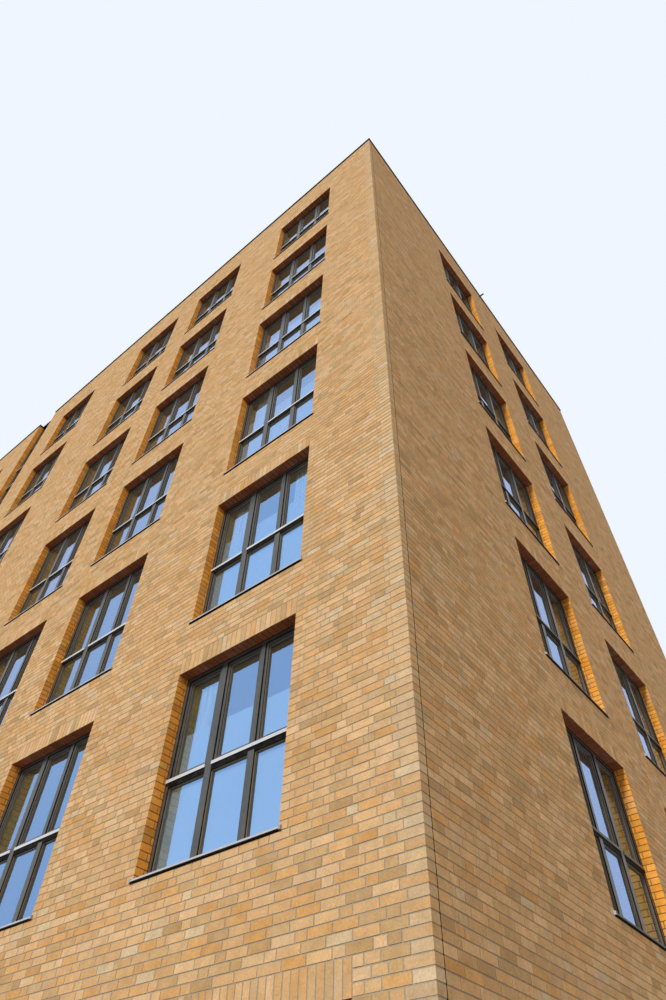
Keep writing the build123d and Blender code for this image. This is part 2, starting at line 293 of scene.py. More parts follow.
def wall_paint():
    """Mortar outside, with painted shade in the reveals that is darkest where they face down, plaster
    inside and a sheet on the parapet's inner face.
    """
    paint = Paint("mortar_and_plaster")
    x, y, z = paint.add("SeparateXYZ", {0: paint.place}).outputs
    from_x = paint.math("ABSOLUTE", paint.math("SUBTRACT", x, (RIGHT + LEFT) / 2))
    from_y = paint.math("ABSOLUTE", paint.math("SUBTRACT", y, (FRONT + BACK) / 2))

    def deeper_than(inset):
        in_x = paint.math("LESS_THAN", from_x, LENGTH / 2 - inset)
        in_y = paint.math("LESS_THAN", from_y, DEPTH / 2 - inset)
        return paint.math("MULTIPLY", in_x, in_y)

    sand = paint.noise(160.0, 5.0)
    damp = paint.noise(1.6, 6.0)
    mortar = paint.veil(sand, 1.0, colour(152, 141, 122), colour(186, 175, 154))
    mortar = paint.veil(damp, 0.35, mortar, colour(134, 118, 95))
    # Painted shade: orange-brown mortar in the reveals, near black where it faces down
    faces_down = paint.math("LESS_THAN", paint.upward(), -0.5)
    reveal_mortar_painted_shade = paint.mix(faces_down, colour(150, 108, 60), colour(42, 28, 16))
    mortar = paint.mix(deeper_than(PROUD), mortar, reveal_mortar_painted_shade)
    plaster = paint.veil(damp, 1.0, colour(226, 223, 215), colour(238, 236, 230))
    sheet = paint.veil(damp, 1.0, colour(98, 100, 102), colour(124, 126, 127))
    inner = paint.mix(paint.math("GREATER_THAN", z, ROOF_LEVEL), plaster, sheet)
    return paint.surface(Base_Color=paint.mix(deeper_than(PLASTER_START), mortar, inner),
                         Roughness=paint.span(sand, 0.82, 0.95), Normal=paint.bump(sand, 0.0012, 0.7))


def coated(name, dark, light, roughness, grain=260.0, metallic=0.0, streaks=(3.0, 3.0, 0.5),
           sheen=0.5, under=None):
    """Sheet or profile with a factory coat: faint streaks, uneven gloss and a fine skin. Where under is
    given, faces that point down take that dark colour: painted shade."""
    paint = Paint(name)
    streak = paint.noise(2.2, 6.0, streaks)
    skin = paint.noise(grain, 3.0)
    smear = paint.noise(14.0, 4.0)
    base = paint.veil(streak, 1.0, colour(*dark), colour(*light))
    dust_and_painted_shade = paint.veil(smear, 0.08, base, colour(150, 142, 130), 0.45, 0.7)
    # Painted shade: faces that point down take the under colour
    if under:
        dust_and_painted_shade = paint.mix(paint.math("LESS_THAN", paint.upward(), -0.5), dust_and_painted_shade, colour(*under))
    rough = paint.span(smear, roughness - 0.07, roughness + 0.09)
    return paint.surface(Base_Color=dust_and_painted_shade, Roughness=rough, Metallic=metallic, Specular_IOR_Level=sheen,
                         Normal=paint.bump(skin, 0.00015, 0.5))


def glass_paint(name, mirrored, veil):
    """Sealed glazing with dust in its see-through tint, under a thin orange diffuse layer that is painted
    reflection of the lit brick reveals. Its outer face mirrors the sky with a blue cast, and stronger
    but paler at a slant. Daylight passes it more freely than the view does."""
    paint = Paint(name)
    ripple = paint.bump(paint.noise(0.55, 2.0), 0.0016, 0.35)
    slant = paint.add("LayerWeight", {"Blend": 0.5}).outputs["Facing"]
    share = paint.span(paint.math("POWER", slant, 4.0), mirrored, 0.97, 0.0, 1.0)
    daylight = paint.add("LightPath").outputs["Is Shadow Ray"]
    share = paint.math("MULTIPLY", share, paint.span(daylight, 1.0, 0.35, 0.0, 1.0))
    pale = paint.span(slant, 0.0, 1.0, 0.55, 0.9)
    cast = paint.mix(pale, (0.29, 0.55, 1.0, 1.0), (0.68, 0.72, 0.95, 1.0))
    mirror = paint.shader("BsdfGlossy", Color=cast, Roughness=0.012, Normal=ripple)
    dust = paint.noise(5.0, 8.0)
    tint = paint.veil(dust, 0.3, (0.86, 0.93, 0.95, 1.0), (0.78, 0.84, 0.86, 1.0))
    both = paint.blend(share, paint.shader("BsdfTransparent", Color=tint), mirror)
    # Painted reflection: a thin orange diffuse layer stands in for the lit brick reveals mirrored here
    painted_reveal_reflection = paint.shader("BsdfDiffuse", Color=(0.85, 0.64, 0.24, 1.0))
    return paint.finish(paint.blend(paint.span(dust, 0.7 * veil, 1.3 * veil), both, painted_reveal_reflection))


def film_paint():
    """Frosted film on the inner face of the glass."""
    paint = Paint("frosted_film")
    tone = paint.veil(paint.noise(1.3), 1.0, (0.84, 0.92, 0.98, 1.0), (0.92, 0.97, 1.0, 1.0))
    glow = paint.shader("BsdfTranslucent", Color=tone)
    face = paint.shader("BsdfDiffuse", Color=tone, Roughness=0.4)
    clear = paint.shader("BsdfTransparent", Color=(0.9, 0.95, 1.0, 1.0))
    return paint.finish(paint.blend(0.85, clear, paint.blend(0.85, glow, face)))


def net_paint():
    """Sheer white net: a fine open weave with denser threads along its folds, greyed between them
    as painted shade.
    """
    paint = Paint("net")
    weave = {"Vector": paint.place, "Scale": 190.0, "Distortion": 0.4}
    across, down = [paint.add("TexWave", weave, bands_direction=axis).outputs["Fac"] for axis in "XZ"]
    threads = paint.math("MAXIMUM", across, down)
    pleat = paint.noise(40.0, 3.0, (1.0, 1.0, 0.04))
    cover = paint.math("MULTIPLY", paint.span(threads, 0.9, 1.0, 0.2, 0.9),
                       paint.span(pleat, 0.72, 1.0, 0.42, 0.56))
    # Painted shade: the net is greyer in the gaps between its folds
    tone = paint.veil(pleat, 1.0, colour(226, 230, 236), colour(255, 255, 254), 0.42, 0.56)
    glow = paint.shader("BsdfTranslucent", Color=tone)
    face = paint.shader("BsdfDiffuse", Color=tone, Normal=paint.bump(threads, 0.0003, 0.5))
    clear = paint.shader("BsdfTransparent")
    return paint.finish(paint.blend(cover, clear, paint.blend(0.9, glow, face)))


def slab_paint():
    """Floors: worn grey carpet on top, white paint under the ceiling, bare concrete at the edges."""
    paint = Paint("floor_slab")
    upward = paint.upward()
    tuft = paint.noise(300.0, 3.0)
    wear = paint.span(paint.noise(0.8, 5.0), 0.0, 1.0)
    carpet = paint.mix(wear, colour(104, 98, 92), colour(128, 121, 112))
    carpet = paint.veil(tuft, 0.4, carpet, colour(82, 76, 70))
    ceiling = paint.mix(wear, colour(232, 231, 226), colour(242, 241, 238))
    concrete = paint.mix(wear, colour(150, 148, 143), colour(172, 170, 165))
    upper = paint.mix(paint.math("GREATER_THAN", upward, 0.5), concrete, carpet)
    every = paint.mix(paint.math("LESS_THAN", upward, -0.5), upper, ceiling)
    return paint.surface(Base_Color=every, Roughness=0.9, Normal=paint.bump(tuft, 0.0008, 0.6))


def gravel_paint():
    """Round roof gravel in greys and buffs, each stone darkened towards its edge as painted shade."""
    paint = Paint("roof_gravel")
    cell = paint.add("TexVoronoi", {"Vector": paint.place, "Scale": 34.0}).outputs
    tone = paint.add("SeparateColor", {0: cell["Color"]}).outputs[0]
    stone = paint.mix(tone, colour(112, 108, 102), colour(190, 184, 172))
    warm = paint.veil(paint.noise(20.0, 2.0), 0.5, stone, colour(168, 142, 110))
    # Painted shade: each stone darker towards its edge
    stones_with_painted_shade = paint.shaded(warm, paint.span(cell["Distance"], 1.0, 0.25, 0.25, 0.75))
    bed = paint.veil(paint.noise(0.5, 6.0), 0.4, stones_with_painted_shade, colour(96, 98, 90))
    rounded = paint.math("SUBTRACT", 1.0, cell["Distance"])
    return paint.surface(Base_Color=bed, Roughness=0.88, Normal=paint.bump(rounded, 0.014, 1.0))


PAINTS = {
    "brick": brick_paint(),
    "wall": wall_paint(),
    "frame": coated("frame_grey", (66, 68, 68), (78, 79, 76), 0.34),
    # Brown beads and slot caps: partly the joinery's own brown, partly painted reflection of the brick
    # reveals
    "bead": coated("bead_brown", (106, 92, 68), (124, 108, 82), 0.45),
    # The under colours of the drip bars and sills are painted shade on their undersides
    "bare": coated("bare_aluminium", (206, 207, 210), (216, 217, 220), 0.4, 420.0, 0.2,
                   sheen=0.3, under=(16, 14, 13)),
    # Painted shade: darker, browner copies of the drip bar and sill metal for the side street's windows
    "side_bare_painted_shade": coated("side_aluminium_painted_shade", (112, 104, 94), (126, 117, 106), 0.5, 420.0,
                        sheen=0.15, under=(16, 14, 13)),
    # Painted shade: a darker, warmer copy of the sill metal for the sill ends on all but the side street
    "cap": coated("cap_aluminium_painted_shade", (150, 143, 133), (166, 158, 147), 0.4),
    "sill": coated("sill_aluminium", (186, 184, 187), (198, 196, 199), 0.45, 320.0, 0.2,
                   sheen=0.3, under=(26, 19, 15)),
    "side_sill_painted_shade": coated("side_sill_painted_shade", (108, 94, 84), (122, 108, 97), 0.5, 320.0,
                        sheen=0.15, under=(26, 19, 15)),
    "coping": coated("coping_black", (11, 11, 12), (19, 19, 21), 0.6, sheen=0.04),
    "panel": coated("panel_bronze", (104, 100, 92), (124, 119, 110), 0.45),
    "door": coated("door_grey", (74, 78, 80), (90, 94, 96), 0.45),
    "rubber": coated("black_rubber", (18, 17, 16), (28, 26, 24), 0.7, 500.0, sheen=0.08),
    "sealant": coated("joint_sealant", (26, 22, 19), (38, 32, 28), 0.8, 380.0, sheen=0.05),
    "steel": coated("brushed_steel", (150, 150, 150), (182, 182, 182), 0.28, 600.0, 1.0, (1.0, 1.0, 40.0)),
    "track": coated("white_track", (220, 220, 218), (236, 236, 234), 0.4),
    # The last number is the share of the orange layer, painted reflection of the reveals
    "glass": glass_paint("glazing", 0.6, 0.04),
    "inner_glass": glass_paint("inner_glazing", 0.03, 0.01),
    "film": film_paint(),
    "net": net_paint(),
    "slab": slab_paint(),
    "gravel": gravel_paint(),
}

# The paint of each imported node, by how its name ends. A later line goes over an earlier one
NODE_PAINTS = {
    "wall": ("_wall", "_piers", "slot_parapet"),
    "frame": ("_frames", "slot_frame", "entrance_doors"),
    "bare": "_drip_bars",
    "side_bare_painted_shade": "side_drip_bars",
    "sill": ("_sills", "slot_ledges"),
    "glass": "_glass",
    "coping": ("_coping", "overflow_spout"),
    "panel": "slot_panels",
    "door": "service_door",
    "sealant": "movement_joint_seal",
    "track": "curtain_tracks",
    "net": "net_curtains",
    "slab": "_floor",
    "gravel": "roof",
}
for node_name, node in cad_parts.items():
    for paint_name, endings in NODE_PAINTS.items():
        if node_name.endswith(endings):
            node.data.materials.clear()
            node.data.materials.append(PAINTS[paint_name])


# Meshes

WELD = 0.00005


def add_object(name, data):
    """An object in the scene."""
    added = bpy.data.objects.new(name, data)
    scene.collection.objects.link(added)
    return added


def make_piece(name, mesh, paint_name):
    """A finished mesh as a piece that rides on the building."""
    piece = add_object(name, mesh)
    mesh.materials.append(PAINTS[paint_name])
    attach(piece, "root")
    return piece


class Joinery:
    """Gathers the faces of small straight parts on one front, and welds them into one mesh."""

    def __init__(self, front):
        self.front = front
        self.points = []
        self.faces = []

    def add(self, points):
        """One face through points given as u, n and z, in order seen from outside."""
        first = len(self.points)
        self.points.extend(points)
        self.faces.append(list(range(first, first + len(points))))

    def prism(self, outline, start, end):
        """An outline of n and z points, drawn anticlockwise seen with u towards the eye, run along u."""
        count = len(outline)
        for index in range(count):
            (n_a, z_a), (n_b, z_b) = outline[index], outline[(index + 1) % count]
            self.add([(start, n_a, z_a), (start, n_b, z_b), (end, n_b, z_b), (end, n_a, z_a)])
        self.add([(start, n, z) for n, z in reversed(outline)])
        self.add([(end, n, z) for n, z in outline])

    def box(self, u, n, z):
        """A box between two places on each axis."""
        self.prism([(n[0], z[0]), (n[0], z[1]), (n[1], z[1]), (n[1], z[0])], u[0], u[1])

    def ring(self, u, z, section):
        """A mitred frame inside a rectangle, through a section of inset and n, from its outer edge in."""
        for (inset_a, n_a), (inset_b, n_b) in zip(section, section[1:]):
            outer = rectangle(widened(u, -inset_a), widened(z, -inset_a))
            inner = rectangle(widened(u, -inset_b), widened(z, -inset_b))
            for turn, after in ((0, 1), (1, 2), (2, 3), (3, 0)):
                quad = [(outer[turn], n_a), (outer[after], n_a), (inner[after], n_b), (inner[turn], n_b)]
                self.add([(place[0], n, place[1]) for place, n in quad])

    def rings(self, lights, section):
        """The same small frame in each of these lights, given as their u and z."""
        for u, z in lights:
            self.ring(u, z, section)

    def tube(self, start, end, radius, sides=16):
        """A round bar between two points."""
        start, end = np.array(start, float), np.array(end, float)
        axis = (end - start) / np.linalg.norm(end - start)
        helper = np.array([0.0, 1.0, 0.0]) if abs(axis[2]) > 0.9 else UP
        across = np.cross(axis, helper)
        across /= np.linalg.norm(across)
        other = np.cross(axis, across)
        turns = [2 * math.pi * side / sides for side in range(sides)]
        rim = [radius * (math.cos(turn) * across + math.sin(turn) * other) for turn in turns]
        for index in range(sides):
            one, two = rim[index], rim[(index + 1) % sides]
            self.add([start + one, end + one, end + two, start + two])
        self.add([start + spoke for spoke in rim])
        self.add([end + spoke for spoke in reversed(rim)])

    def stud(self, u, z, reach, radius, sides=16):
        """A round bar that stands out from the face of the frames."""
        self.tube((u, -REVEAL, z), (u, -REVEAL + reach, z), radius, sides)

    def strip(self, u, z, reach, sunk=0.001):
        """A flat strip on the face of the frames, let in a little."""
        self.box(u, (-REVEAL - sunk, -REVEAL + reach), z)

    def piece(self, name, paint_name, slot_name):
        """The welded mesh as a piece, with its faces turned outward."""
        placed = self.front.place(np.array(self.points, float))
        mesh = bpy.data.meshes.new(name)
        mesh.from_pydata(placed.tolist(), [], self.faces)
        work = bmesh.new()
        work.from_mesh(mesh)
        bmesh.ops.remove_doubles(work, verts=work.verts, dist=WELD)
        if self.front.mirrored:
            bmesh.ops.reverse_faces(work, faces=work.faces)
        work.to_mesh(mesh)
        work.free()
        return make_piece(name, mesh, paint_name)


# Brickwork in wild bond: each brick is a box that stands a little proud of the mortar

# The screen colours of the clay and how often each is found, on the walls and at the street corner
FIRED = {
    (214, 170, 119): 20, (216, 176, 127): 18, (206, 163, 112): 16,
    (219, 180, 134): 12, (199, 162, 113): 14, (212, 163, 106): 12,
    (205, 155, 96): 5, (188, 150, 102): 7, (211, 184, 144): 3,
}
PALE_FIRED = {
    (210, 177, 133): 3, (204, 172, 130): 3, (216, 176, 127): 4,
    (206, 163, 112): 3, (211, 184, 146): 1,
}

# Painted shade: each colour turned a deeper orange on brick faces in reveals, and a dark red-brown
# on the undersides of the soldiers over openings
PAINTED_REVEAL_SHADE = (1.42, 0.94, 0.24)
PAINTED_UNDERSIDE_SHADE = (0.5, 0.21, 0.09)


def cut_course(rng, start, end, first, last, below):
    """The upright joints of one stretch of a course, with its ends. first and last are the lengths
    of its end bricks if set, and below the joints that it keeps clear of."""

    def clashes(place):
        return any(abs(place - other) < CLEAR_OF_JOINT for other in below)

    cuts = [start]
    if first:
        cuts.append(start + first + JOINT / 2)
    limit = end - last - JOINT / 2 if last else end
    after_header = False
    while limit - cuts[-1] > STRETCHER + HEADER:
        steps = [STRETCHER, HEADER, THREE_QUARTER + JOINT]
        if not after_header and rng.random() < HEADER_CHANCE:
            steps[:2] = [HEADER, STRETCHER]
        fitting = [step for step in steps if not clashes(cuts[-1] + step)] or steps
        after_header = fitting[0] == HEADER
        cuts.append(cuts[-1] + fitting[0])
    rest = limit - cuts[-1]
    if rest > STRETCHER + JOINT:
        cuts.append(cuts[-1] + HEADER if rest - HEADER < STRETCHER else cuts[-1] + rest / 2)
    elif rest < SHORTEST_BRICK and len(cuts) > 2:
        cuts.pop()
        cuts.append(cuts[-1] + (limit - cuts[-1]) / 2)
    if limit - cuts[-1] > NO_BRICK:
        cuts.append(limit)
    if last:
        cuts.append(end)
    return cuts


class Brickwork:
    """The bricks of one wall: where each is, how deep it goes and which of its ends show. variety
    is the share by which each may be lighter or darker than its colour."""

    def __init__(self, front, seed, variety=0.06):
        self.front = front
        self.variety = variety
        self.rng = random.Random(seed)
        self.boxes = []
        self.fired = []

    def brick(self, u, z, n, shown, shift=0.0, pale=False):
        """One brick. shown tells if its near end, far end and underside show: 1 in the open and 2 in
        a recess. shift moves it aside on the flat map."""
        slack = [self.rng.uniform(-SLACK, SLACK) for _ in range(5)]
        self.boxes.append((u[0] + slack[0], u[1] + slack[1], n[0], n[1] + slack[4],
                           z[0] + slack[2], z[1] + slack[3], *shown, shift))
        clay = PALE_FIRED if pale else FIRED
        tone = self.rng.choices(list(clay), clay.values())[0]
        shade = self.rng.uniform(1 - self.variety, 1 + self.variety)
        self.fired.append([part * shade for part in colour(*tone)[:3]])

    def course(self, row, start, end, openings, start_end, far_end):
        """One course between its ends and round its openings. The ends are (kind, length, depth)."""
        z = (row * COURSE + JOINT / 2, (row + 1) * COURSE - JOINT / 2)
        closer = JAMB_CLOSERS[row % 2]
        edges = [(start, start_end)]
        for near, far, low_row, high_row in openings:
            if low_row <= row < high_row + SOLDIER_COURSES:
                edge = ("jamb", closer, JAMB_DEPTH) if row < high_row else ("butt", closer, EMBEDDED)
                edges += [(near, edge), (far, edge)]
        edges.append((end, far_end))
        joints = []
        for (left, left_end), (right, right_end) in zip(edges[::2], edges[1::2]):
            below = [place for place in self.last_joints if left - 1 < place < right + 1]
            cuts = cut_course(self.rng, left, right, left_end[1], right_end[1], below)
            joints += cuts[1:-1]
            self.stretch(cuts, z, left_end, right_end, row)
        self.last_joints = joints

    def stretch(self, cuts, z, left_end, right_end, row):
        """The bricks between the joints of one stretch, with its jambs and corners turned in."""
        for index, (near, far) in enumerate(zip(cuts, cuts[1:])):
            left = left_end if index == 0 else BUTT
            right = right_end if index == len(cuts) - 2 else BUTT
            shows_left, shows_right = left[0] != "butt", right[0] != "butt"
            depth = max(left[2], right[2])
            u = (near - PROUD if shows_left else near + JOINT / 2,
                 far + PROUD if shows_right else far - JOINT / 2)
            shown = (SHOWN[left[0]], SHOWN[right[0]], 0)
            if row % 2 == 0 and "jamb" in (left[0], right[0]):
                depth = CLOSER_DEPTH
                closer_u = (u[0], u[0] + CLOSER_WIDTH) if shows_left else (u[1] - CLOSER_WIDTH, u[1])
                closer_n = (-JAMB_DEPTH, -depth - JOINT)
                self.brick(closer_u, z, closer_n, shown, -MAP_SHIFT if shows_left else MAP_SHIFT)
            self.brick(u, z, (-depth, PROUD), shown, pale=self.pale_corner and near == 0)

    def soldiers(self, near, far, head_row):
        """A row of upright bricks over an opening, whose undersides show."""
        count = round((far - near) / COURSE)
        pitch = (far - near) / count
        low = head_row * COURSE
        z = (low - PROUD / 2, low + SOLDIER_COURSES * COURSE - JOINT / 2)
        for index in range(count):
            u = (near + index * pitch + JOINT / 2, near + (index + 1) * pitch - JOINT / 2)
            self.brick(u, z, (-JAMB_DEPTH, PROUD), (0, 0, 1))

    def wall(self, start, end, openings, start_ends, far_ends, pale_corner=False):
        """All courses of a wall. Its ends take turns from course to course."""
        self.last_joints = []
        self.pale_corner = pale_corner
        openings = sorted(openings)
        for row in range(COURSES):
            start_end, far_end = start_ends[row % 2], far_ends[row % 2]
            self.course(row, start + start_end[3], end - far_end[3], openings, start_end, far_end)
        for near, far, low_row, high_row in openings:
            self.soldiers(near, far, high_row)

    def pieces(self, *names, split=math.inf):
        """The bricks as one mesh, or as two to each side of a place along the wall."""
        boxes, fired = np.array(self.boxes), np.array(self.fired)
        near_side = boxes[:, 0] < split
        for name, part in zip(names, (near_side, ~near_side)):
            make_piece(name, self.mesh(name, boxes[part], fired[part]), "brick")

    def mesh(self, name, boxes, fired):
        """Open-backed boxes, with a face colour each, painted shade on faces in reveals and under soldiers,
        and a flat map on which none overlap.
        """
        u0, u1, n0, n1, z0, z1, near_shows, far_shows, under_shows, shift = boxes.T
        count = len(boxes)
        corners = np.stack([np.stack([u, n, z], 1) for n in (n1, n0)
                            for u, z in rectangle((u0, u1), (z0, z1))], 1)
        pattern = np.array([(0, 1, 2, 3), (1, 5, 6, 2), (4, 0, 3, 7), (3, 2, 6, 7), (4, 5, 1, 0)])
        depth = n1 - n0
        far_fold = u1 + np.where(far_shows > 0, depth, MAP_SEAM)
        near_fold = u0 - np.where(near_shows > 0, depth, MAP_SEAM)
        under_fold = z0 - np.where(under_shows > 0, depth, MAP_SEAM)
        unfolded = [
            rectangle((u0, u1), (z0, z1)),
            rectangle((u1, far_fold), (z0, z1)),
            rectangle((near_fold, u0), (z0, z1)),
            rectangle((u0, u1), (z1, z1 + MAP_SEAM)),
            rectangle((u0, u1), (under_fold, z0)),
        ]
        flat = np.stack([np.stack([np.stack([across + shift, up], 1) for across, up in face], 1)
                         for face in unfolded], 1)
        if self.front.mirrored:
            pattern = pattern[:, ::-1]
            flat = flat[:, :, ::-1]
        faces = (np.arange(count)[:, None, None] * 8 + pattern[None]).reshape(-1, 4)
        flat = flat.reshape(-1, 2)
        low = flat.min(0)
        flat = (flat - low) / (flat.max(0) - low).max()
        mesh = bpy.data.meshes.new(name)
        mesh.vertices.add(count * 8)
        mesh.vertices.foreach_set("co", self.front.place(corners).ravel())
        mesh.loops.add(faces.size)
        mesh.loops.foreach_set("vertex_index", faces.ravel().astype(np.int32))
        mesh.polygons.add(len(faces))
        mesh.polygons.foreach_set("loop_start", np.arange(0, faces.size, 4, dtype=np.int32))
        mesh.update(calc_edges=True)
        shades = mesh.attributes.new("fired", "FLOAT_COLOR", "FACE")
        # Painted shade on the faces in reveals and on the soldiers' undersides, multiplied into their
        # colours
        brick_face_painted_shade = np.ones((count, 5, 3))
        brick_face_painted_shade[far_shows > 1, 1] = PAINTED_REVEAL_SHADE
        brick_face_painted_shade[near_shows > 1, 2] = PAINTED_REVEAL_SHADE
        brick_face_painted_shade[under_shows > 0, 4] = PAINTED_UNDERSIDE_SHADE
        rgba = np.ones((len(faces), 4), np.float32)
        rgba[:, :3] = (fired[:, None] * brick_face_painted_shade).reshape(-1, 3)
        shades.data.foreach_set("color", rgba.ravel())
        mesh.uv_layers.new(name="OFBake").data.foreach_set("uv", flat.ravel().astype(np.float32))
        mesh.shade_flat()
        mesh.validate()
        return mesh


def holes(windows, shops=()):
    """The openings of a wall, as near and far jamb and first and last course."""
    found = [(near, near + WINDOW_WIDTH, row, row + WINDOW_COURSES) for near in windows for row in SILL_ROWS]
    return found + [(near, far, 0, SHOP_HEAD_COURSES) for near, far in shops]


# Wall ends for even and odd courses: kind, first brick, depth turned in, and where the wall starts
STREET_CORNER = [("corner", length, MOVEMENT_JOINT[0], 0.0) for length in (BRICK_LENGTH, THREE_QUARTER)]
OWN_CORNER = [("corner", BRICK_LENGTH, BRICK_WIDTH, 0.0), ("corner", BRICK_WIDTH, BRICK_LENGTH, 0.0)]
OTHER_CORNER = [("butt", 0.0, EMBEDDED, width + JOINT / 2) for width in (BRICK_WIDTH, BRICK_LENGTH)]
SLOT_RETURN = [("return", length, SLOT_SETBACK - 0.004, 0.0) for length in (BRICK_LENGTH, BRICK_WIDTH)]
BESIDE_JOINT = [("butt", length, EMBEDDED, MOVEMENT_JOINT[1] - JOINT / 2)
                for length in (BRICK_LENGTH, THREE_QUARTER)]

bricks = Brickwork(street, 11)
bricks.wall(0, BLOCK_END, holes(STREET_WINDOWS, STREET_SHOPS), STREET_CORNER, SLOT_RETURN,
            pale_corner=True)
bricks.pieces("front_bricks")

bricks = Brickwork(street, 12)
bricks.wall(NEXT_START, LENGTH, holes([NEXT_WINDOW], [NEXT_SHOP]), SLOT_RETURN, OWN_CORNER)
bricks.pieces("next_block_bricks")

bricks = Brickwork(side, 13, variety=0.1)
bricks.wall(0, DEPTH, holes(SIDE_WINDOWS, [SIDE_SHOP]), BESIDE_JOINT, OTHER_CORNER)
bricks.pieces("side_bricks")

bricks = Brickwork(back, 14)
back_holes = holes(BACK_WINDOWS) + [(*SERVICE_DOOR, 0, DOOR_COURSES)]
bricks.wall(0, LENGTH, back_holes, OWN_CORNER, OWN_CORNER)
bricks.pieces("back_bricks_near", "back_bricks_far", split=LENGTH / 2)

bricks = Brickwork(party, 15)
bricks.wall(0, DEPTH, [], OTHER_CORNER, OTHER_CORNER)
bricks.pieces("party_wall_bricks")


# Window joinery, in sections of inset and n from the outer edge in

LOWER_LIGHTS, UPPER_LIGHTS = [
    [(FRAME_FACE, post[0]), (post[1], MULLION[0]), (MULLION[1], WINDOW_WIDTH - FRAME_FACE)]
    for post in (POST, MEETING_STILE)
]
SASH_GAP = 0.004
SASH_FACE = -(REVEAL + 0.015)
SASH_WIDTH = 0.038
SASH_GLASS = -0.2
SASH_BACK = SASH_GLASS - GLASS_THICKNESS
SASH_SECTION = [
    (0.05, SASH_BACK), (0.0, SASH_BACK), (0.0, SASH_FACE - 0.003), (0.003, SASH_FACE),
    (SASH_WIDTH - 0.005, SASH_FACE), (SASH_WIDTH, SASH_FACE - 0.005), (SASH_WIDTH, SASH_GLASS),
]
SASH_GASKET = [
    (SASH_WIDTH, SASH_FACE - 0.007), (SASH_WIDTH + 0.003, SASH_FACE - 0.009),
    (SASH_WIDTH + 0.005, SASH_GLASS - 0.001),
]
GAP_GASKET = [(0.0, -REVEAL - 0.003), (0.005, -REVEAL - 0.006), (0.005, SASH_FACE - 0.012)]
SASH_BEAD = [
    (SASH_WIDTH, SASH_FACE - 0.014), (SASH_WIDTH + 0.008, SASH_FACE - 0.014),
    (SASH_WIDTH + 0.01, SASH_FACE - 0.016), (SASH_WIDTH + 0.01, SASH_GLASS - 0.0005),
]
LIGHT_BEAD = [
    (0.004, -REVEAL - 0.017), (0.012, -REVEAL - 0.017), (0.014, -REVEAL - 0.019),
    (0.014, -FRAME_BACK - 0.0008),
]
SHOP_BEAD = [
    (0.005, -REVEAL - 0.012), (0.02, -REVEAL - 0.012), (0.023, -REVEAL - 0.015),
    (0.023, -FRAME_BACK - 0.0008),
]
# Black rubber over the whole flank of each light: partly a glazing seal, partly painted shade
LIGHT_GASKET = [(0.0, -REVEAL - 0.005), (0.003, -REVEAL - 0.008), (0.005, -FRAME_BACK - 0.001)]
JAMB_SEAL = [(-0.001, -JAMB_DEPTH - 0.001), (0.007, -JAMB_DEPTH - 0.0015), (0.01, -REVEAL - 0.001)]
PANE_EDGE = 0.012
SASH_PANE_INSET = SASH_WIDTH - 0.006
DRIP_HEIGHT = 0.04
BAR_SHADOW = 0.034
SILL_REACH = 0.025
SILL_END = 0.03
SILL_SHEET = 0.0025
SILL_CAP = 0.018
CAP_OVERLAP = 0.004


def clear_inside(panes, face):
    """Gives all but the panes' outer faces the plain glass."""
    panes.data.materials.append(PAINTS["inner_glass"])
    for polygon in panes.data.polygons:
        if np.dot(polygon.normal, face.out) < 0.5:
            polygon.material_index = 1


def add_window(parts, near, sill):
    """The sashes, panes, black rubber with strips of painted shadow, beads and folded sill of one window."""
    sashes, gaskets, beads, caps, sills, panes = parts.values()
    far = near + WINDOW_WIDTH
    z_low, z_high = moved(LOWER_ROW, sill), moved(UPPER_ROW, sill)
    for light in LOWER_LIGHTS:
        u = moved(light, near)
        gaskets.ring(u, z_low, LIGHT_GASKET)
        beads.ring(u, z_low, LIGHT_BEAD)
        # A black band at the head of each lower light: partly a seal, partly painted shadow of the transom
        gaskets.strip(u, (z_low[1], z_low[1] + 0.022), 0.002)
        panes.box(widened(u, PANE_EDGE), (-FRAME_BACK - GLASS_THICKNESS, -FRAME_BACK - 0.0005),
                  widened(z_low, PANE_EDGE))
    for light in UPPER_LIGHTS:
        u = moved(light, near)
        gaskets.ring(u, z_high, GAP_GASKET)
        sash_u, sash_z = widened(u, -SASH_GAP), widened(z_high, -SASH_GAP)
        sashes.ring(sash_u, sash_z, SASH_SECTION)
        beads.ring(sash_u, sash_z, SASH_BEAD)
        gaskets.ring(sash_u, sash_z, SASH_GASKET)
        panes.box(widened(sash_u, -SASH_PANE_INSET), (SASH_BACK, SASH_GLASS),
                  widened(sash_z, -SASH_PANE_INSET))
    gaskets.ring((near, far), (sill, sill + WINDOW_HEIGHT), JAMB_SEAL)
    bar_top = sill + UPPER_ROW[0]
    bar_foot = bar_top - DRIP_HEIGHT
    # A black groove over each drip bar, and under it a black strip of painted shadow from the bar
    for u in ((near, near + MULLION[0]), (near + MULLION[1], far)):
        gaskets.strip(u, (bar_top, bar_top + 0.006), 0.006)
        gaskets.strip(u, (bar_foot - BAR_SHADOW, bar_foot), 0.003)
    start, end = widened((near, far), SILL_END)
    fold = SILL_REACH - SILL_SHEET
    sheet = [(-REVEAL, sill + 0.0475), (-REVEAL, sill + 0.05), (SILL_REACH, sill + 0.035),
             (SILL_REACH, sill + 0.016), (fold, sill + 0.016), (fold, sill + 0.0325)]
    sills.prism(sheet, start, end)
    # A black box in the hollow under the sill's lip: painted shadow under the sill
    gaskets.box((start, end), (PROUD, SILL_REACH - 0.003), (sill + 0.004, sill + 0.03))
    cap = [(PROUD, sill + 0.004), (PROUD, sill + 0.046), (0.026, sill + 0.043), (0.028, sill + 0.04),
           (0.028, sill + 0.004)]
    caps.prism(cap, start - CAP_OVERLAP, start + SILL_CAP)
    caps.prism(cap, end - SILL_CAP, end + CAP_OVERLAP)


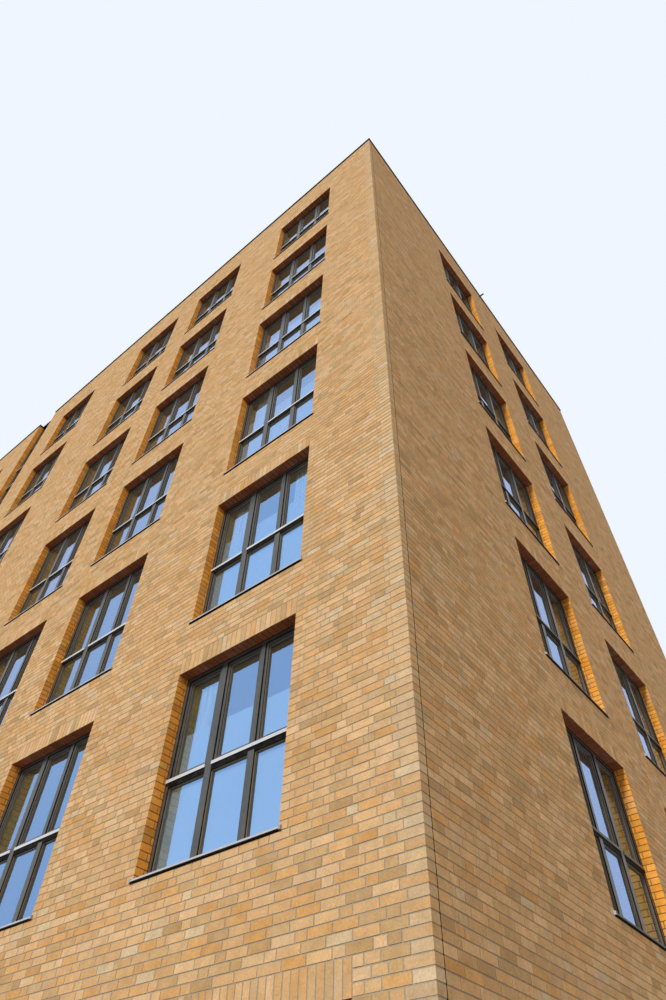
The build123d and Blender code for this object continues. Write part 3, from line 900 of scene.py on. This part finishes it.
# The paint and slot of each kind of window piece. On the side street the folded sills take a
# darker copy of the sill metal, painted shade, and the sill ends the plain sill metal
WINDOW_PIECES = {
    "sashes": ("frame", "frame_metal"),
    "gaskets": ("rubber", "sealant"),
    "beads": ("bead", "frame_metal"),
    "sill_caps": ("cap", "sill_metal"),
    "folded_sills": ("sill", "sill_metal"),
    "panes": ("glass", "glass"),
}
SIDE_PAINTS = {"sill_caps": "sill", "folded_sills": "side_sill_painted_shade"}
window_columns = {
    "front": (street, STREET_WINDOWS),
    "next_block": (street, [NEXT_WINDOW]),
    "side": (side, SIDE_WINDOWS),
    "back": (back, BACK_WINDOWS),
}
for place, (face, columns) in window_columns.items():
    parts = {kind: Joinery(face) for kind in WINDOW_PIECES}
    for near in columns:
        for sill in SILLS:
            add_window(parts, near, sill)
    pieces = {}
    for kind, (paint_name, slot_name) in WINDOW_PIECES.items():
        if face is side:
            paint_name = SIDE_PAINTS.get(kind, paint_name)
        pieces[kind] = parts[kind].piece(f"{place}_{kind}", paint_name, slot_name)
    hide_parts(f"{place}_window_sills")
    clear_inside(pieces["panes"], face)
    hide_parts(f"{place}_window_glass")


# The slot: black rubber round its lights, partly painted shade on their flanks, caps on its frame
# and the noses of its ledges

slot_u = widened(SLOT, -FRAME_FACE)
slot_edge = FRAME_FACE / 2
slot_levels = [SHOP_FOOT, SHOP_HEAD]
for sill in SILLS:
    slot_levels += [sill, sill + TRANSOM_HEIGHT, sill + WINDOW_HEIGHT]
slot_levels.append(BRICK_TOP)
slot_lights = [(slot_u, (low + slot_edge, high - slot_edge))
               for low, high in zip(slot_levels, slot_levels[1:])]
slot_face = -SLOT_SETBACK
slot_gaskets = Joinery(street)
slot_gaskets.rings(slot_lights, [
    (0.0, slot_face - 0.004), (0.004, slot_face - 0.008), (0.006, slot_face - FRAME_DEPTH - 0.001)
])
slot_gaskets.piece("slot_gaskets", "rubber", "sealant")

slot_caps = Joinery(street)
cap_n = (slot_face, -REVEAL)
slot_caps.box((BLOCK_END, slot_u[0]), cap_n, (0.0, BRICK_TOP))
slot_caps.box((slot_u[1], NEXT_START), cap_n, (0.0, BRICK_TOP))
for level in slot_levels[1:-1]:
    slot_caps.box(slot_u, cap_n, (level - slot_edge, level + slot_edge))
slot_caps.piece("slot_cover_caps", "bead", "frame_metal")

NOSE_REACH = 0.025
NOSE_HEIGHT = 0.04
slot_noses = Joinery(street)
for sill in SILLS:
    for level in (sill, sill + TRANSOM_HEIGHT):
        slot_noses.strip(SLOT, (level - NOSE_HEIGHT / 2, level + NOSE_HEIGHT / 2), NOSE_REACH, 0.0)
slot_noses.piece("slot_ledge_noses", "bare", "sill_metal")


# Shop fronts and doors

def shop_bays(start, end, count, door_bay=None):
    """The clear widths of one shop front's bays, the middle one set for doors."""
    clear = end - start - 2 * FRAME_FACE - (count - 1) * SHOP_MULLION
    widths = [clear / count] * count
    if door_bay:
        widths = [(clear - door_bay) / (count - 1)] * count
        widths[count // 2] = door_bay
    bays = []
    near = start + FRAME_FACE
    for width in widths:
        bays.append((near, near + width))
        near += width + SHOP_MULLION
    return bays


shop_fronts = {
    "street": (street, [*STREET_SHOPS, NEXT_SHOP], 3),
    "side": (side, [SIDE_SHOP], 5),
}
for face_name, (face, shops, count) in shop_fronts.items():
    gaskets, beads = Joinery(face), Joinery(face)
    for shop in shops:
        door_bay = DOOR_BAY if shop is STREET_SHOPS[1] else None
        for bay, u in enumerate(shop_bays(*shop, count, door_bay)):
            lights = [(u, (SHOP_TRANSOM + SHOP_MULLION, SHOP_HEAD - FRAME_FACE))]
            if not (door_bay and bay == count // 2):
                lights.append((u, (SHOP_FOOT, SHOP_TRANSOM)))
            gaskets.rings(lights, LIGHT_GASKET)
            beads.rings(lights, SHOP_BEAD)
    gaskets.piece(f"{face_name}_shop_gaskets", "rubber", "sealant")
    beads.piece(f"{face_name}_shop_beads", "frame", "frame_metal")

LEAF_GAP = 0.006
PLATE = 0.0015
KICK_PLATE = (0.02, 0.2)
PULL_PLACE = 0.085
PULL_REACH = 0.065
PULL_ENDS = (0.8, 1.7)
PULL_POSTS = (0.95, 1.55)
door_middle = sum(STREET_SHOPS[1]) / 2
door_gaskets, door_steel, door_beads = Joinery(street), Joinery(street), Joinery(street)
for turn in (-1, 1):
    inner, outer = door_middle + turn * LEAF_GAP / 2, door_middle + turn * DOOR_BAY / 2
    leaf = (min(inner, outer), max(inner, outer))
    light = [(widened(leaf, -DOOR_STILE), (DOOR_FOOT, SHOP_TRANSOM - DOOR_STILE))]
    door_gaskets.rings(light, LIGHT_GASKET)
    door_beads.rings(light, SHOP_BEAD)
    door_steel.strip(widened(leaf, -0.012), KICK_PLATE, PLATE, 0.0)
    pull = door_middle + turn * PULL_PLACE
    foot, top = [(pull, -REVEAL + PULL_REACH, level) for level in PULL_ENDS]
    door_steel.tube(foot, top, 0.016, 24)
    for level in PULL_POSTS:
        door_steel.stud(pull, level, PULL_REACH, 0.009)
        door_steel.stud(pull, level, 0.006, 0.022, 24)
    door_beads.strip(widened((outer, outer), 0.006), (0.02, SHOP_TRANSOM - 0.02), 0.007)
door_gaskets.piece("entrance_door_gaskets", "rubber", "sealant")
door_beads.piece("entrance_door_beads", "frame", "frame_metal")
door_steel.piece("entrance_door_pulls", "steel", "frame_metal")

SLATS = 9
SLAT_PITCH = 0.032
LOUVRE_FOOT = 0.36
LOUVRE_EDGE = 0.3
LEVER_LEVEL = 1.05
LOCK_LEVEL = 0.97
HINGE_LEVELS = (0.3, 1.1, 1.9)
HINGE_LENGTH = 0.1
service_face, service_seal, service_steel = Joinery(back), Joinery(back), Joinery(back)
service_z = (0.0, DOOR_COURSES * COURSE)
service_face.ring(SERVICE_DOOR, service_z, [
    (0.0, -REVEAL + 0.012), (0.055, -REVEAL + 0.012), (0.058, -REVEAL + 0.009), (0.058, -REVEAL - 0.001)
])
service_seal.ring(SERVICE_DOOR, service_z, [
    (0.058, -REVEAL + 0.004), (0.064, -REVEAL + 0.002), (0.066, -REVEAL - 0.001)
])
for step in range(SLATS):
    slat = LOUVRE_FOOT + step * SLAT_PITCH
    blade = [(-REVEAL, slat), (-REVEAL, slat + 0.026), (-REVEAL + 0.004, slat + 0.022),
             (-REVEAL + 0.012, slat)]
    service_face.prism(blade, *widened(SERVICE_DOOR, -LOUVRE_EDGE))
service_steel.strip(widened(SERVICE_DOOR, -0.09), (0.075, 0.27), PLATE, 0.0)
lever = SERVICE_DOOR[0] + 0.14
lever_n = -REVEAL + 0.05
service_steel.stud(lever, LEVER_LEVEL, 0.008, 0.026, 24)
service_steel.stud(lever, LEVER_LEVEL, 0.055, 0.009)
service_steel.tube((lever - 0.01, lever_n, LEVER_LEVEL), (lever + 0.125, lever_n, LEVER_LEVEL), 0.01)
service_steel.stud(lever, LOCK_LEVEL, 0.005, 0.013)
hinge = SERVICE_DOOR[1] - 0.062
hinge_n = -REVEAL + 0.014
for level in HINGE_LEVELS:
    service_steel.tube((hinge, hinge_n, level), (hinge, hinge_n, level + HINGE_LENGTH), 0.009)
service_face.piece("service_door_face", "door", "door_metal")
service_seal.piece("service_door_seal", "rubber", "sealant")
service_steel.piece("service_door_furniture", "steel", "door_metal")


# Roof edge: a folded drip along each coping, straps over its joints, and the spout's collar

COPING_HEIGHT = 0.05
COPING_OVERHANG = 0.03
COPING_DRIP = 0.03
STRAP = 0.0025
STRAP_WIDTH = 0.1
COLLAR_REACH = 0.009
COLLAR_RADIUS = 0.042
strap_back = -WALL_THICKNESS - COPING_OVERHANG
strap_foot = BRICK_TOP + 0.004
strap_top = BRICK_TOP + COPING_HEIGHT
strap_outline = [
    (strap_back - STRAP, strap_foot), (strap_back - STRAP, strap_top + STRAP),
    (COPING_OVERHANG + STRAP, strap_top + STRAP), (COPING_OVERHANG + STRAP, strap_foot),
    (COPING_OVERHANG, strap_foot), (COPING_OVERHANG, strap_top),
    (strap_back, strap_top), (strap_back, strap_foot),
]
LONG_STRAPS = (3.1, 6.2, 9.3, 12.4, 15.5)
SHORT_STRAPS = (3.2, 6.3, 9.4)
coping_trims = {
    "street": (street, [(0.0, BLOCK_END), (NEXT_START, LENGTH)], (*LONG_STRAPS, NEXT_START + 2.1)),
    "side": (side, [(0.0, DEPTH)], SHORT_STRAPS),
    "back": (back, [(0.0, LENGTH)], (*LONG_STRAPS, 18.6)),
    "party_wall": (party, [(0.0, DEPTH)], SHORT_STRAPS),
}
for name, (face, runs, straps) in coping_trims.items():
    trim = Joinery(face)
    for middle in straps:
        trim.prism(strap_outline, middle - STRAP_WIDTH / 2, middle + STRAP_WIDTH / 2)
    for run in runs:
        trim.box(widened(run, COPING_OVERHANG), (COPING_OVERHANG - STRAP, COPING_OVERHANG),
                 (BRICK_TOP - COPING_DRIP, BRICK_TOP + 0.001))
    trim.piece(f"{name}_coping_trim", "coping", "coping_metal")

slot_nose = Joinery(street)
slot_nose.box(widened(SLOT, -COPING_OVERHANG - 0.001), moved((slot_face, -REVEAL), COPING_OVERHANG),
              (BRICK_TOP - 0.04, strap_top))
slot_nose.piece("slot_coping_nose", "coping", "coping_metal")

spout_low, spout_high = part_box("overflow_spout")
spout_u = (spout_low.y + spout_high.y) / 2 - FRONT
spout_z = (spout_low.z + spout_high.z) / 2
collar = Joinery(side)
collar.tube((spout_u, 0.0, spout_z), (spout_u, COLLAR_REACH, spout_z), COLLAR_RADIUS, 32)
collar.piece("spout_collar", "coping", "coping_metal")


# Frosted film behind the lower part of the corner column's glass

FILMED_STOREYS = 4
FILM_HEIGHT = 1.7
FILM_THICKNESS = 0.0004
FILM_GAP = 0.0002
FILM_EDGE = 0.01
SASH_FILM_EDGE = -(SASH_GAP + SASH_WIDTH - 0.004)
film = Joinery(street)
for sill in SILLS[:FILMED_STOREYS]:
    low_z = widened(moved(LOWER_ROW, sill), FILM_EDGE)
    high_z = (sill + UPPER_ROW[0] - SASH_FILM_EDGE, sill + FILM_HEIGHT)
    for lights, edge, glass_back, z in (
        (LOWER_LIGHTS, FILM_EDGE, -FRAME_BACK - GLASS_THICKNESS, low_z),
        (UPPER_LIGHTS, SASH_FILM_EDGE, SASH_BACK, high_z),
    ):
        film_n = (glass_back - FILM_GAP - FILM_THICKNESS, glass_back - FILM_GAP)
        for light in lights:
            film.box(widened(moved(light, STREET_WINDOWS[0]), edge), film_n, z)
film.piece("frosted_film", "film", "glass")


# Net curtains, gathered on their tracks

CURTAIN_FOLDS = 7
CURTAIN_DEPTH = 0.013
CURTAIN_WIDTH = 0.3
CURTAIN_HEAD = 0.0303
CURTAIN_HEM = 0.03
CURTAIN_INSET = 0.352
near_stack = STREET_WINDOWS[0] + CURTAIN_INSET
far_stack = STREET_WINDOWS[0] + WINDOW_WIDTH - CURTAIN_INSET
curtain_low, curtain_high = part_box("net_curtains")
curtain_line = (curtain_low.y + curtain_high.y) / 2


def gathered_curtain(number, storey, middle):
    """A net curtain pushed aside: soft pleats that open a little towards the hem."""
    rng = random.Random(40 + number)
    top = SILLS[storey] + WINDOW_HEIGHT - CURTAIN_HEAD
    foot = SILLS[storey] + CURTAIN_HEM
    across, down = 112, 28
    phases = [rng.uniform(0, 2 * math.pi) for _ in range(3)]
    points = []
    for row in range(down + 1):
        drop = row / down
        z = top + (foot - top) * drop
        spread = CURTAIN_WIDTH * (0.93 + 0.07 * drop)
        lean = 0.004 * math.sin(2.2 * drop + phases[0])
        for column in range(across + 1):
            share = column / across
            wander = 0.35 * math.sin(3 * share + phases[1])
            wander += 0.25 * drop * math.sin(5 * share + phases[2])
            turn = 2 * math.pi * CURTAIN_FOLDS * share + wander
            u = middle + (share - 0.5) * spread + lean + 0.004 * math.sin(2 * turn)
            depth = CURTAIN_DEPTH * (0.75 + 0.25 * drop) * math.sin(turn)
            points.append((RIGHT - u, curtain_line + depth, z))
    faces = []
    for row in range(down):
        for column in range(across):
            corner = row * (across + 1) + column
            faces.append((corner, corner + 1, corner + across + 2, corner + across + 1))
    mesh = bpy.data.meshes.new(f"net_curtain_{number}")
    mesh.from_pydata(points, [], faces)
    mesh.polygons.foreach_set("use_smooth", [True] * len(mesh.polygons))
    curtain = make_piece(f"net_curtain_{number}", mesh, "net")
    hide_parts("net_curtains")


stacks = [(0, far_stack), (1, far_stack), (1, near_stack), (2, far_stack)]
for number, (storey, middle) in enumerate(stacks, 1):
    gathered_curtain(number, storey, middle)


# Camera at the photograph's viewing angle, from close below the corner
camera_data = bpy.data.cameras.new("camera")
camera_data.lens = 24.516
camera_data.sensor_width = 36.0
camera_data.clip_end = 500.0
camera = add_object("camera", camera_data)
camera.location = (RIGHT + 2.781, FRONT - 4.418, 1.568)
camera.rotation_euler = [math.radians(angle) for angle in (139.636, -1.187, 39.194)]
scene.camera = camera

# Soft studio light: direction it comes from, strength, softness in degrees and colour
for name, direction, strength, softness, tone in (
    ("key_light", (0.11, -0.85, 0.6), 2.85, 12.0, (1.0, 1.0, 1.0)),
    ("fill_light", (0.9, -0.25, 0.3), 0.5, 40.0, (1.0, 0.7, 0.36)),
    ("back_light", (-0.6, 0.75, 0.5), 1.2, 40.0, (1.0, 1.0, 1.0)),
):
    lamp_data = bpy.data.lights.new(name, "SUN")
    lamp_data.energy = strength
    lamp_data.angle = math.radians(softness)
    lamp_data.color = tone
    lamp = add_object(name, lamp_data)
    x, y, z = direction
    lamp.rotation_euler = (math.atan2(math.hypot(x, y), z), 0.0, math.atan2(x, -y))
    lamp.visible_glossy = False

studio = Paint("studio", bpy.data.worlds, "OutputWorld")
soft = studio.shader("Background", Color=(1.0, 0.98, 0.95, 1.0), Strength=0.3)
pale = studio.shader("Background", Color=(0.86, 0.92, 1.0, 1.0), Strength=1.0)
scene.world = studio.finish(studio.blend(studio.looked_at(), soft, pale))

# Plain pale floor
FLOOR_REACH = 300.0
floor_paint = Paint("floor")
floor_tone = floor_paint.mix(floor_paint.looked_at(), (0.3, 0.3, 0.3, 1.0), (0.54, 0.55, 0.56, 1.0))
corners = rectangle((-FLOOR_REACH, FLOOR_REACH), (-FLOOR_REACH, FLOOR_REACH))
floor_mesh = bpy.data.meshes.new("floor")
floor_mesh.from_pydata([(x, y, 0) for x, y in corners], [], [(0, 1, 2, 3)])
floor_mesh.materials.append(floor_paint.surface(Base_Color=floor_tone, Roughness=0.9))
floor = add_object("floor", floor_mesh)
floor.location.z = -0.001

scene.view_settings.view_transform = "Standard"
